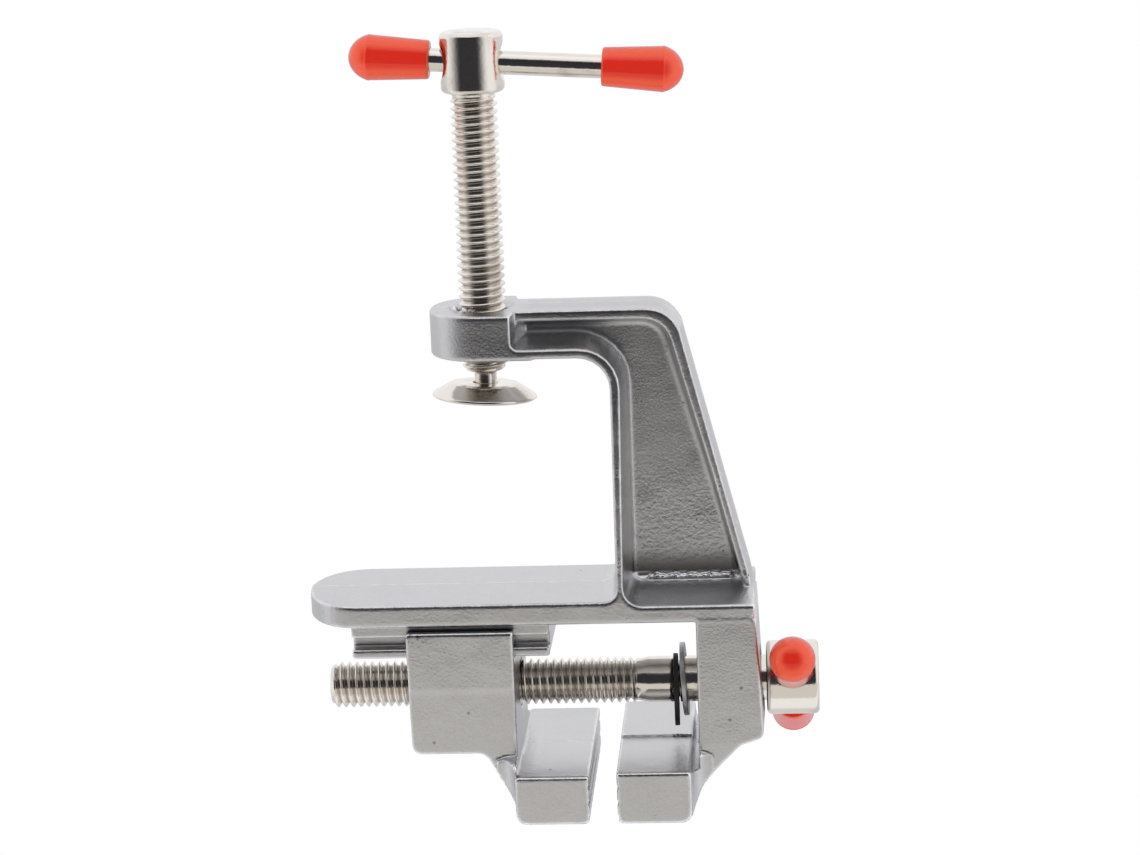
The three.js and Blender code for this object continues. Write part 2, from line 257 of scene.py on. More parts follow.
def jaw_field(x, y, z, face, back, under, far_drop=0.0):
    """A jaw across the vise. Its underside may step down on the far side of the parting."""
    away = math.copysign(1, back - face)
    profile = filleted([
        (face, under), (back, under, 0.6), (back, JAW_TOP, 1.7), (face, JAW_TOP, 1.0),
    ] if away > 0 else [
        (back, under, 0.6), (face, under), (face, JAW_TOP, 1.0), (back, JAW_TOP, 1.7),
    ])
    near = slab_of(outline_field(x, z, profile), y, JAW_HALF, JAW_EDGE)
    if not far_drop:
        return near
    step = common(between(z, under - far_drop, under + 2), between(y, 0, JAW_HALF), 0.3)
    step = common(step, between(x, min(face, back), max(face, back)), 0.5)
    return np.minimum(near, step)


def web_corner(x, y, z, back, outward, under, profile):
    """The fillet that runs up between a gusset's side and the back of its jaw. It begins
    short of the jaw with an arched, sloping nose, and stays within the gusset's profile."""
    radius, length = 4.2, 3.4
    arch_length, arch_rise, nose_below, nose_slope = 3.5, 1.2, 1.6, 0.35
    into_jaw, into_gusset = 0.1, 0.6
    along = (x - back) * outward
    beside = np.abs(y) - LEG_HALF
    scoop = radius - np.hypot(along - radius, beside - radius)
    arch = 1.0 - np.sqrt(np.clip(1 - (along / arch_length) ** 2, 0, 1))
    nose = under - nose_below + arch_rise * arch + nose_slope * beside - z
    corner = np.maximum.reduce(np.broadcast_arrays(
        scoop, along - length, beside - radius, -into_jaw - along, -into_gusset - beside, nose,
    ))
    return np.maximum(corner, outline_field(x, z, profile))


def grooves_in(face, x, y, z):
    """Three shallow grooves across a gripping face, a little worn."""
    depth = 0.27 + 0.05 * np.sin(y * 1.9) + 0.04 * np.sin(y * 4.3 + 1.0)
    grooves = [np.hypot(x - face, (z - height) * 0.7) - depth for height in GRIP_GROOVES]
    return np.minimum.reduce(grooves)


def half_width_of_arm(z):
    """The arm spreads from the boss's width to the plate's."""
    share = np.clip((z - THROAT_Z) / -THROAT_Z, 0, 1)
    return BOSS_RADIUS + (SEAT_HALF - BOSS_RADIUS) * share


def arm_field(x, y, z):
    """The solid C of the arm: a wide rib round the throat and a narrower one down its back."""
    beyond = np.abs(y) - half_width_of_arm(z)
    foot = [
        (THROAT_X + FOOT_FILLET * (1 - math.cos(t)), FOOT_FILLET * (math.sin(t) - 1))
        for t in np.linspace(0, math.pi / 2, 7)
    ]
    outer = filleted([(-3.5, THROAT_Z), (THROAT_X, THROAT_Z, 5.2)] + foot + [
        (THROAT_X + FOOT_FILLET, 1.5), (-41.6, 1.5), (-41.2, -1.6), (-31.2, -42.8),
        (-30.4, BEAM_LOW, 5.4), (-3.5, BEAM_LOW),
    ])
    body = outline_field(x, z, outer) + beyond * DRAFT
    band = filleted([
        (0, THROAT_Z + 3), (-16, THROAT_Z + 3), (-16, 1.5), (-43, 1.5), (-43, -3), (-26, -3),
        (-26, THROAT_Z - 3.6), (0, THROAT_Z - 3.6),
    ])
    throat_side = np.maximum(common(body, beyond, 0.45), outline_field(x, z, band))
    back_side = common(body, np.abs(y) - BACK_RIB_HALF, 0.5)
    return np.minimum(throat_side, back_side)


def pocket_field(x, y, z):
    """The drafted pocket in each side of the arm, and the way out past the narrow back rib.
    Its long walls are steeper than its foot, and its end by the boss is rounded."""
    beyond = np.abs(y) - half_width_of_arm(z)
    depth = np.maximum(-beyond, 0)
    steeper = x - depth * 0.1 * np.clip((x + 31) / 5, -1, 1)
    start = [(POCKET_NEAR_BOSS, -40.6, 1.2), (-21.9, -40.6, 6.4), (-21.3, 0.9, 3.0)]
    rim = filleted(start + [
        (-42.0, 0.9), (-34.9, -26.5, 20.0), (-29.8, -45.6, 5.2), (POCKET_NEAR_BOSS, -45.6, 1.0),
    ])
    aside = filleted(start + [(-46.0, 0.9), (-46.0, -49.0), (POCKET_NEAR_BOSS, -49.0)])
    hollow = outline_field(steeper, z, rim) - beyond * POCKET_DRAFT
    hollow = common(hollow, WEB_HALF - np.abs(y), 0.8)
    past_end = np.maximum(x - POCKET_END_X, 0)
    near_boss = np.clip((x + 10) / 1.8, 0, 1)
    end_radius = np.maximum(4.3 - 0.48 * depth, 1.0)
    round_end = np.hypot(past_end, (z - POCKET_END_Z) * near_boss)
    hollow = np.maximum(hollow, round_end - end_radius)
    half_round = np.hypot(past_end, np.maximum(z - POCKET_END_Z, 0) * near_boss)
    open_side = outline_field(steeper, z, aside) - beyond * POCKET_DRAFT
    open_side = np.maximum(open_side, half_round - end_radius)
    whole = np.minimum(hollow, np.maximum(open_side, BACK_RIB_HALF - 0.05 - np.abs(y)))
    by_throat = np.maximum(x + 24.3, 0) * np.clip((z + 20) / 5, 0, 1)
    foot_corner = np.hypot(by_throat, np.maximum(z + 2.1 + 0.1 * depth, 0))
    return np.maximum(whole, foot_corner - 3.0 + 0.165 * depth)


def flash_field(x, y, z):
    """The rough edge that trimming left where the pocket's floor meets its foot."""
    wander = 0.08 * np.sin(x * 2.3) + 0.06 * np.sin(x * 5.9 + 1.0) + 0.05 * np.sin(x * 9.3)
    bead = np.hypot(np.abs(y) - BEAD_OUT, z - BEAD_Z + wander * 0.6) - BEAD_RADIUS - wander
    return np.maximum(bead, between(x, BEAD_FROM, BEAD_TO))


def boss_field(x, y, z):
    """The boss for the clamp screw, round in front."""
    round_end = np.hypot(np.maximum(x, 0), y) - BOSS_RADIUS
    height = np.abs(z - BOSS_MIDDLE) - BOSS_HALF_HEIGHT + np.abs(y) * DRAFT * 0.15
    return common(common(round_end, -8.5 - x, 0.5), height, 0.6)


def burr_field(x, y, z):
    """A torn burr that the tap raised on part of the bore's rim."""
    turn = np.arctan2(y, x)
    ragged = 0.22 * np.sin(turn * 17) + 0.12 * np.sin(turn * 31 + 1.0)
    out = np.hypot(x, y) - 4.95 - 0.35 * np.sin(turn * 9 + 2.0)
    bead = np.hypot(out, z - BOSS_MIDDLE + BOSS_HALF_HEIGHT + 0.05) - 0.30 - ragged
    return np.maximum(bead, between(turn, -1.25, -0.15))


def frame_field(x, y, z):
    """The whole casting, with its pockets, its tapped bore and the screw's hole cut out."""
    tongue = np.minimum(plate_field(x, y, z), rail_field(x, y, z))
    body = np.minimum(np.minimum(tongue, arm_field(x, y, z)), boss_field(x, y, z))
    body = cut(body, pocket_field(x, y, z), 0.4)
    body = joined(body, flash_field(x, y, z), 0.15)
    jaw = jaw_field(x, y, z, FIXED_FACE, FIXED_BACK, FIXED_UNDER, FIXED_STEP)
    jaw = cut(jaw, grooves_in(FIXED_FACE, x, y, z), 0.15)
    leg = joined(leg_field(x, y, z), jaw, 0.5)
    whole = joined(body, leg, 0.2)
    bore = np.hypot(x, y)
    inward = BOSS_HALF_HEIGHT - np.abs(z - BOSS_MIDDLE)
    mouth = np.maximum(TAPPED_RADIUS, TAPPED_MOUTH - inward)
    whole = cut(whole, np.maximum(bore - mouth, z + 30), 0.15)
    whole = np.minimum(whole, burr_field(x, y, z))
    shank = np.hypot(y, z - VISE_AXIS) - LEG_BORE
    return cut(whole, np.maximum(shank, x + 30), 0.3)


frame_low, frame_high = (-45.15, -18.55, -47.95), (31.4, 18.6, 36.4)
casting = skin("cast_frame", frame_field, frame_low, frame_high, CASTING_STEP)
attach(casting, "frame")
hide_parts("frame_casting")


def new_group(name, inputs, outputs):
    """An empty shader node group, what it is given and what it puts out. The sockets are
    listed as (name, default) for the way in and (name, kind) for the way out."""
    group = bpy.data.node_groups.new(name, "ShaderNodeTree")
    for label, default in inputs:
        kind = "NodeSocketVector" if default is None else "NodeSocketFloat"
        socket = group.interface.new_socket(label, in_out="INPUT", socket_type=kind)
        if default is not None:
            socket.default_value = default
    for label, kind in outputs:
        group.interface.new_socket(label, in_out="OUTPUT", socket_type=kind)
    given = group.nodes.new("NodeGroupInput").outputs
    out = group.nodes.new("NodeGroupOutput").inputs
    return group, given, out


def put(tree, kind, settings=None, **links):
    """A node with settings on it, and its sockets set or linked by name. An underscore in a
    name stands for a space, and i0 and i1 are the first two sockets."""
    node = tree.nodes.new(kind)
    for key, value in (settings or {}).items():
        setattr(node, key, value)
    for key, value in links.items():
        by_number = key[0] == "i" and key[1:].isdigit()
        socket = node.inputs[int(key[1:]) if by_number else key.replace("_", " ")]
        if isinstance(value, bpy.types.NodeSocket):
            tree.links.new(value, socket)
        else:
            socket.default_value = value
    return node


def maths(tree, operation, a, b=0.0, clamp=False):
    """One sum in a tree: a and b are sockets or numbers."""
    settings = {"operation": operation, "use_clamp": clamp}
    return put(tree, "ShaderNodeMath", settings, i0=a, i1=b).outputs[0]


def product(tree, first, *others):
    """All the values given, multiplied together."""
    for other in others:
        first = maths(tree, "MULTIPLY", first, other)
    return first


def weighed(tree, base, *terms):
    """The sum of a base and of each term's value times its weight."""
    for value, weight in terms:
        base = maths(tree, "ADD", maths(tree, "MULTIPLY", value, weight), base)
    return base


def ramp(tree, value, low, high, out_low=0.0, out_high=1.0):
    """A smooth step from out_low to out_high as value goes from low to high."""
    node = put(
        tree, "ShaderNodeMapRange", {"interpolation_type": "SMOOTHSTEP"},
        Value=value, From_Min=low, From_Max=high, To_Min=out_low, To_Max=out_high,
    )
    return node.outputs[0]


def noise(tree, place, scale, detail=2.0, roughness=0.5):
    """Soft noise through the solid at a place, about scale lumps to the metre."""
    return put(
        tree, "ShaderNodeTexNoise",
        Vector=place, Scale=scale, Detail=detail, Roughness=roughness,
    ).outputs[0]


def grain_group():
    """Fine uneven grain in a finish, and a slower mottle to vary its sheen."""
    group, given, out = new_group(
        "fine_grain",
        [("Place", None), ("Grain Size", 900.0), ("Mottle Size", 90.0)],
        [("Grain", "NodeSocketFloat"), ("Mottle", "NodeSocketFloat")],
    )
    fine_noise = noise(group, given["Place"], given["Grain Size"], 3.0, 0.6)
    slow_noise = noise(group, given["Place"], given["Mottle Size"], 4.0, 0.55)
    group.links.new(fine_noise, out["Grain"])
    group.links.new(slow_noise, out["Mottle"])
    return group


def wear_group():
    """A mask of rubbed edges, broken up by noise."""
    group, given, out = new_group(
        "rubbed_edges",
        [("Place", None), ("Sharpness", 0.53), ("Break Up", 260.0)],
        [("Worn", "NodeSocketFloat")],
    )
    curve = group.nodes.new("ShaderNodeNewGeometry").outputs["Pointiness"]
    patchy = noise(group, given["Place"], given["Break Up"], 3.0)
    uneven = maths(group, "MULTIPLY", maths(group, "SUBTRACT", patchy, 0.5), 0.05)
    shifted = maths(group, "ADD", curve, uneven)
    over = maths(group, "SUBTRACT", shifted, given["Sharpness"])
    worn = maths(group, "MULTIPLY", over, 22.0, clamp=True)
    group.links.new(worn, out["Worn"])
    return group


grain_tree, wear_tree = grain_group(), wear_group()


def begin_material(name, metallic, coat=0.0):
    """A material with its shader, and the place node that all finishes start from."""
    material = bpy.data.materials.new(name)
    material.use_nodes = True
    tree = material.node_tree
    shader = tree.nodes["Principled BSDF"]
    shader.inputs["Metallic"].default_value = metallic
    shader.inputs["Coat Weight"].default_value = coat
    place = tree.nodes.new("ShaderNodeTexCoord").outputs["Object"]
    return material, tree, shader, place


def grain_in(tree, place, grain_size, mottle_size):
    """The fine grain group placed in a material: its grain and its mottle."""
    node = put(
        tree, "ShaderNodeGroup", {"node_tree": grain_tree},
        Place=place, Grain_Size=grain_size, Mottle_Size=mottle_size,
    )
    return node.outputs["Grain"], node.outputs["Mottle"]


def wear_in(tree, place, sharpness, break_up):
    """The rubbed edges group placed in a material: its mask."""
    node = put(
        tree, "ShaderNodeGroup", {"node_tree": wear_tree},
        Place=place, Sharpness=sharpness, Break_Up=break_up,
    )
    return node.outputs["Worn"]


def blend_colour(tree, share, first, second):
    """The first colour where share is 0 and the second where it is 1."""
    node = put(tree, "ShaderNodeMix", {"data_type": "RGBA"})
    tree.links.new(share, node.inputs[0])
    for socket, value in ((node.inputs[6], first), (node.inputs[7], second)):
        if isinstance(value, bpy.types.NodeSocket):
            tree.links.new(value, socket)
        else:
            socket.default_value = (*value, 1)
    return node.outputs[2]


def finish_material(tree, shader, colour, roughness, height, depth_mm):
    """The finish's colour, roughness and relief linked to its shader."""
    tree.links.new(colour, shader.inputs["Base Color"])
    tree.links.new(roughness, shader.inputs["Roughness"])
    bump = put(tree, "ShaderNodeBump", Strength=1.0, Distance=depth_mm * MM, Height=height)
    tree.links.new(bump.outputs[0], shader.inputs["Normal"])


ALUMINIUM_DARK, ALUMINIUM_LIGHT = (0.50, 0.50, 0.505), (0.74, 0.74, 0.745)
ALUMINIUM_RUBBED_AND_HIGHLIGHT, CREVICE_SHADE = (0.90, 0.90, 0.92), (0.05, 0.05, 0.055)
PIT_GREY, DENT_GREY, FOOT_SHADE = (0.22, 0.22, 0.24), (0.14, 0.14, 0.15), (0.10, 0.095, 0.085)
DENTS = ((-39.7, 14.5, 0.45), (-37.8, 19.8, 0.4), (4.1, 17.9, 0.35), (9.9, 22.9, 0.35))
BACK_RIB_LEAN, BACK_RIB_X = 0.2427, -41.59


def pocket_floors(tree, x, z, off_middle):
    """A mask of the floors of the arm's pockets, short of the throat's and the back's ribs."""
    off_back = maths(tree, "ADD", x, maths(tree, "MULTIPLY", z, BACK_RIB_LEAN))
    off_back = maths(tree, "ADD", off_back, -BACK_RIB_X * MM)
    off_throat = ramp(tree, x, -21.8 * MM, -22.6 * MM)
    off_throat = maths(tree, "MAXIMUM", off_throat, ramp(tree, z, -40.2 * MM, -40.8 * MM))
    return product(
        tree, off_throat,
        ramp(tree, off_back, 0.7 * MM, 1.3 * MM),
        ramp(tree, off_middle, 3.2 * MM, 3.6 * MM, 1.0, 0.0),
        ramp(tree, z, -0.6 * MM, -1.1 * MM),
    )


def dents_and_scuffs(tree, place, x, y, z):
    """A mask of the small dents in the leg and the nut block, and of the block's scuffed
    corner by the rail, all on the -Y side. A dent is its X, its Z and its reach, in mm."""
    marks = product(
        tree, ramp(tree, x, 8.5 * MM, 12.5 * MM),
        ramp(tree, z, 7.5 * MM, 4.9 * MM),
        ramp(tree, z, 3.9 * MM, 4.3 * MM),
        ramp(tree, noise(tree, place, 1100.0, 3.0, 0.65), 0.50, 0.62, 0.0, 0.75),
    )
    flat = put(tree, "ShaderNodeCombineXYZ", X=x, Z=z).outputs[0]
    for dent_x, dent_z, reach in DENTS:
        middle = (dent_x * MM, 0, dent_z * MM)
        far = put(tree, "ShaderNodeVectorMath", {"operation": "DISTANCE"}, i0=flat, i1=middle)
        dent = ramp(tree, far.outputs["Value"], 0.3 * reach * MM, reach * MM, 0.65, 0.0)
        marks = maths(tree, "MAXIMUM", marks, dent)
    return maths(tree, "MULTIPLY", marks, ramp(tree, y, -10.2 * MM, -11.0 * MM))


def cast_aluminium_material():
    """Tumbled cast aluminium: grain, a few pits, bright rubbed edges, a fine flash line on
    the parting plane, and an orange-peel skin on the floors of the arm's pockets. Painted
    shade darkens its crevices and the pockets' floors towards their foot, and the flash line
    and the bead along the foot are lightened as painted highlights."""
    material, tree, shader, place = begin_material("cast_aluminium", 1.0)
    grain, mottle = grain_in(tree, place, 2300.0, 130.0)
    waves = noise(tree, place, 170.0, 1.0, 0.4)
    worn = wear_in(tree, place, 0.525, 420.0)
    x, y, z = put(tree, "ShaderNodeSeparateXYZ", Vector=place).outputs
    off_middle = maths(tree, "ABSOLUTE", y)
    broken = ramp(tree, noise(tree, place, 420.0, 3.0, 0.6), 0.40, 0.62, 0.25, 1.0)
    flash = product(tree, ramp(tree, off_middle, 0.10 * MM, 0.36 * MM, 1.0, 0.0), broken)
    floors = pocket_floors(tree, x, z, off_middle)
    above_foot = ramp(tree, z, -3.0 * MM, -4.5 * MM)
    skinned = product(tree, floors, above_foot, ramp(tree, x, -6.0 * MM, -8.0 * MM))
    towards_foot = ramp(tree, z, -27 * MM, -8 * MM, 0.03, 1.0)
    peel = product(tree, skinned, towards_foot, noise(tree, place, 1500.0, 2.0, 0.5))
    pits = ramp(tree, noise(tree, place, 620.0, 1.0, 0.4), 0.80, 0.83)
    off_bead = maths(tree, "ABSOLUTE", maths(tree, "ADD", z, 1.8 * MM))
    bead = product(tree, ramp(tree, off_bead, 0.85 * MM, 0.45 * MM), floors)
    # Rubbed edges are real wear; the flash line and the bead are lightened here as painted highlights.
    bright = maths(tree, "MAXIMUM", worn, maths(tree, "MULTIPLY", flash, 0.8))
    bright = maths(tree, "MAXIMUM", bright, bead)
    # Painted shade: the colour darkens where ambient occlusion finds other surfaces close by, in gaps,
    # grooves and crevices.
    nearby = put(tree, "ShaderNodeAmbientOcclusion", {"samples": 6}, Distance=1.6 * MM)
    crevice_shade = ramp(tree, nearby.outputs["AO"], 0.16, 0.46, 1.0, 0.0)
    crevice_shade = maths(tree, "SUBTRACT", crevice_shade, bead, True)
    by_foot = product(tree, floors, ramp(tree, z, -7.0 * MM, -2.6 * MM, 0.0, 0.9))
    by_foot = maths(tree, "SUBTRACT", by_foot, bead, True)
    tone = weighed(tree, 0.0, (mottle, 0.6), (grain, 0.5))
    colour = blend_colour(tree, tone, ALUMINIUM_DARK, ALUMINIUM_LIGHT)
    for mask, over in (
        (bright, ALUMINIUM_RUBBED_AND_HIGHLIGHT),
        (crevice_shade, CREVICE_SHADE),
        (pits, PIT_GREY),
        (dents_and_scuffs(tree, place, x, y, z), DENT_GREY),
        (by_foot, FOOT_SHADE),
    ):
        colour = blend_colour(tree, mask, colour, over)
    rough = weighed(tree, 0.22, (mottle, 0.16), (worn, -0.10), (skinned, 0.06))
    height = weighed(
        tree, 0.0, (grain, 0.42), (peel, 0.75), (pits, -0.9), (flash, 0.9), (waves, 1.3),
    )
    finish_material(tree, shader, colour, rough, height, 0.12)
    return material


aluminium = cast_aluminium_material()
casting.data.materials.append(aluminium)


# ---- moving jaw --------------------------------------------------------------------------
# The second casting: a nut block that hangs on the rail by two lips, threaded for the vise
# screw, and the jaw that it carries. Its near and far faces change draft half way up.
MOVING_FACE, MOVING_BACK, MOVING_UNDER = -15.2, -3.4, 27.0
BLOCK_INNER, BLOCK_OUTER, BLOCK_LOW, BLOCK_HIGH = -3.5, 13.7, 4.5, 24.9
BEND_Z, BEND_START, BEND_STEP, BEND_LEAN = 14.2, 13.9, 0.16, math.tan(math.radians(1.5))
SLIP = 0.3


def moving_field(x, y, z):
    """The nut block with its gusset and jaw. The rail's section, the tapped hole and the
    gripping face's grooves are cut out of it."""
    block = filleted([
        (BLOCK_INNER, BLOCK_LOW), (BLOCK_OUTER, BLOCK_LOW, 0.4),
        (BLOCK_OUTER - 0.2, BLOCK_HIGH, 1.5), (1.9, BLOCK_HIGH, 2.0), (-3.3, 32.8, 6.0),
        (-3.9, 34.2), (-6.0, 34.2), (-6.0, 27.3), (BLOCK_INNER, 27.3),
    ])
    corner = web_corner(x, y, z, MOVING_BACK, 1, MOVING_UNDER, block)
    lean = np.maximum(z - BEND_Z, 0) * BEND_LEAN
    lean = lean + BEND_STEP * np.clip((z - BEND_START) / 0.7, 0, 1)
    drafted = outline_field(x, z, block) + (np.abs(y) - LEG_HALF) * DRAFT / 3
    body = common(drafted, np.abs(y) + lean - LEG_HALF, 0.35)
    jaw = jaw_field(x, y, z, MOVING_FACE, MOVING_BACK, MOVING_UNDER)
    whole = joined(np.minimum(body, corner), jaw, 0.5)
    side = RAIL_HALF + SLIP
    root = side - GROOVE_DEPTH
    section = [
        (-side, 3), (side, 3), (side, GROOVE_FROM + SLIP), (root, GROOVE_FROM + SLIP),
        (root, GROOVE_TO - SLIP), (side, GROOVE_TO - SLIP), (side, RAIL_LOW + SLIP),
        (-side, RAIL_LOW + SLIP), (-side, GROOVE_TO - SLIP), (-root, GROOVE_TO - SLIP),
        (-root, GROOVE_FROM + SLIP), (-side, GROOVE_FROM + SLIP),
    ]
    whole = cut(whole, outline_field(y, z, section) + x * 0, 0.2)
    thread = np.hypot(y, z - VISE_AXIS) - TAPPED_RADIUS
    whole = cut(whole, np.maximum(thread, -4.5 - x), 0.2)
    return cut(whole, grooves_in(MOVING_FACE, x, y, z), 0.15)


jaw_low, jaw_high = (-15.75, -18.55, 3.85), (14.5, 18.6, 35.8)
slider = skin("moving_jaw_casting", moving_field, jaw_low, jaw_high, CASTING_STEP)
slider.data.materials.append(aluminium)
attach(slider, "moving_jaw")
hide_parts("moving_jaw")


# ---- vise screw --------------------------------------------------------------------------
# A nickel-plated steel screw with a rolled thread, plain where it turns in the leg. Its
# round head is pressed on, and cross-drilled for the tommy bar.
SIDES = 96 if fine else 40
THREAD_PITCH, CREST, THREAD_DEPTH = 1.25, 3.73, 0.74
THREAD_ROWS = [(0.0, 1.0), (0.1, 1.0), (0.28, 0.5), (0.46, 0.04), (0.62, 0.04), (0.81, 0.5)]
TIP_RADIUS, RUN_OUT_RADIUS, RUN_OUT, CHAMFER_SLOPE = 2.9, 3.4, 0.9, 0.9
VISE_TIP, VISE_THREAD_END, VISE_FACE, VISE_HEAD, VISE_HEAD_RADIUS = 27.5, -22.9, -43.7, 8.5, 6.0
CLIP_X, CLIP_GROOVE_WIDE, CLIP_GROOVE_RADIUS = -28.6, 1.05, 2.95
BAR_RADIUS, BAR_HOLE = 1.85, 2.3
NICKEL_BRIGHT, NICKEL_TARNISHED = (0.84, 0.79, 0.72), (0.66, 0.61, 0.54)
NICKEL_RUBBED, NICKEL_HOLLOW_SHADE = (0.93, 0.90, 0.86), (0.30, 0.27, 0.235)
VISE_TILT = math.radians(28)


def spot(origin, direction):
    """Where a turned piece lies: its own Z axis along direction, through origin, in mm."""
    turn = Vector(direction).to_track_quat("Z", "Y").to_matrix().to_4x4()
    return Matrix.Translation(Vector(origin)) @ turn


def ring_points(along, radius):
    """The points of one ring round a turned piece's axis."""
    turns = np.linspace(0, 2 * math.pi, SIDES, endpoint=False)
    return np.stack([radius * np.cos(turns), radius * np.sin(turns), along + 0 * turns], 1)


def stepped(profile, longest):
    """A profile with points added so that no span of it is longer than longest."""
    points = [profile[0]]
    for (a0, r0), (a1, r1) in zip(profile, profile[1:]):
        spans = max(1, math.ceil(math.hypot(a1 - a0, r1 - r0) / longest))
        for k in range(1, spans + 1):
            points.append((a0 + (a1 - a0) * k / spans, r0 + (r1 - r0) * k / spans))
    return points


def lathe_rows(profile, longest=0.8):
    """Rings of points for a profile of (along, radius) pairs."""
    return [ring_points(a, max(r, 0.0)) for a, r in stepped(profile, longest)]


def thread_rows(start, end, chamfer, neck):
    """Rings that follow a right-hand thread from its chamfered start to the neck where it
    runs out. Each point of a ring lies further on by its turn's share of the pitch."""
    way = math.copysign(1, end - start)
    length = abs(end - start)
    turns = np.arange(SIDES) / SIDES
    across = np.stack([np.cos(turns * 2 * math.pi), np.sin(turns * 2 * math.pi)], 1)
    rows = []
    for k in range(-1, int(length / THREAD_PITCH) + 3):
        for phase, height in THREAD_ROWS:
            lead = (k + phase + way * turns - 1) * THREAD_PITCH
            along = np.clip(lead, 0, length)
            radius = CREST - THREAD_DEPTH * (1 - height)
            radius = np.minimum(radius, chamfer + along * CHAMFER_SLOPE)
            left = np.clip((length - along) / RUN_OUT, 0, 1)
            radius = neck + (radius - neck) * left
            rows.append(np.column_stack([across * radius[:, None], start + way * along]))
    return rows


def wrapped(name, sections, where, material):
    """One welded mesh from sections of rings. A section is (rings, rings to skip at the
    seam), because a thread's rings close one turn further on."""
    points, faces = [], []
    for rows, skip in sections:
        first = sum(len(p) for p in points)
        points += rows
        for n in range(len(rows) - 1):
            for j in range(SIDES):
                k = (j + 1) % SIDES
                m = n + skip if j == SIDES - 1 else n
                if not 0 <= m < len(rows) - 1:
                    continue
                base, other = first + n * SIDES, first + m * SIDES
                faces.append((base + j, other + k, other + SIDES + k, base + SIDES + j))
    points = np.concatenate(points)
    place = np.array(where)
    points = points @ place[:3, :3].T + place[:3, 3]
    thing = mesh_object(name, points, faces)
    form = bmesh.new()
    form.from_mesh(thing.data)
    bmesh.ops.remove_doubles(form, verts=form.verts, dist=1e-7)
    bmesh.ops.dissolve_degenerate(form, edges=form.edges, dist=1e-7)
    bmesh.ops.recalc_face_normals(form, faces=form.faces)
    form.to_mesh(thing.data)
    form.free()
    thing.data.materials.append(material)
    return thing


def head_shape(axis_at, span, radius, hole_along):
    """A round head's field in its own frame, Z along its axis: rounded rims and a cross hole
    for a bar, countersunk at both ends."""
    def shape(x, y, z):
        body = common(np.hypot(x, y) - radius, between(z, *span), 0.8)
        along = x * hole_along[0] + y * hole_along[1]
        across = np.hypot(x * hole_along[1] - y * hole_along[0], z - axis_at)
        mouth = np.maximum(BAR_HOLE, BAR_HOLE + (np.abs(along) - radius + 1.1) * 0.64)
        return cut(body, across - mouth, 0.12)
    return shape


def head(name, where, axis_at, span, radius, hole_along, material):
    """The mesh of a round head, lying where its screw lies."""
    step = 0.14 if fine else 0.3
    margin = 3 * step
    low = (-radius - margin, -radius - margin, span[0] - margin)
    high = (radius + margin, radius + margin, span[1] + margin)
    thing = skin(name, head_shape(axis_at, span, radius, hole_along), low, high, step)
    scaled = where.copy()
    scaled.translation = where.translation * MM
    thing.data.transform(scaled)
    thing.data.materials.append(material)
    return thing


def nickel_material():
    """Bright nickel plate with faint draw marks and a little tarnish, and painted shade in its hollows,
    such as the thread roots.
    """
    material, tree, shader, place = begin_material("nickel_plate", 1.0)
    grain, mottle = grain_in(tree, place, 1400.0, 160.0)
    worn = wear_in(tree, place, 0.56, 500.0)
    tarnish = ramp(tree, mottle, 0.52, 0.72)
    colour = blend_colour(tree, tarnish, NICKEL_BRIGHT, NICKEL_TARNISHED)
    colour = blend_colour(tree, worn, colour, NICKEL_RUBBED)
    # Painted shade: darker and rougher where the surface is concave, as in the thread roots.
    curve = tree.nodes.new("ShaderNodeNewGeometry").outputs["Pointiness"]
    hollow = ramp(tree, curve, 0.42, 0.495, 1.0, 0.0)
    colour = blend_colour(tree, hollow, colour, NICKEL_HOLLOW_SHADE)
    rough = weighed(tree, 0.10, (tarnish, 0.10), (hollow, 0.25), (grain, 0.05))
    finish_material(tree, shader, colour, rough, grain, 0.022)
    return material


nickel = nickel_material()
rod_spot = spot((0, 0, VISE_AXIS), (1, 0, 0))
groove_from, groove_to, broken_edge = CLIP_X - CLIP_GROOVE_WIDE, CLIP_X, 0.1
shank = [
    (VISE_THREAD_END, RUN_OUT_RADIUS), (VISE_THREAD_END - 1.7, CREST),
    (groove_to + broken_edge, CREST), (groove_to, CREST - broken_edge),
    (groove_to, CLIP_GROOVE_RADIUS), (groove_from, CLIP_GROOVE_RADIUS),
    (groove_from, CREST - broken_edge), (groove_from - broken_edge, CREST),
    (VISE_FACE - 0.6, CREST),
]
screw = wrapped(
    "vise_screw_rod",
    [
        (lathe_rows([(VISE_TIP, 0), (VISE_TIP, TIP_RADIUS)]), 0),
        (thread_rows(VISE_TIP, VISE_THREAD_END, TIP_RADIUS, RUN_OUT_RADIUS), -len(THREAD_ROWS)),
        (lathe_rows(shank), 0),
    ],
    rod_spot,
    nickel,
)
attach(screw, "vise_screw")
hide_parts("vise_screw")

vise_centre = (VISE_FACE - VISE_HEAD / 2, 0, VISE_AXIS)
vise_way = (0, math.cos(VISE_TILT), math.sin(VISE_TILT))
hole_way = rod_spot.to_3x3().inverted() @ Vector(vise_way)
screw_head = head(
    "vise_screw_head", rod_spot, vise_centre[0], (VISE_FACE - VISE_HEAD, VISE_FACE),
    VISE_HEAD_RADIUS, hole_way, nickel,
)
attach(screw_head, "vise_screw")


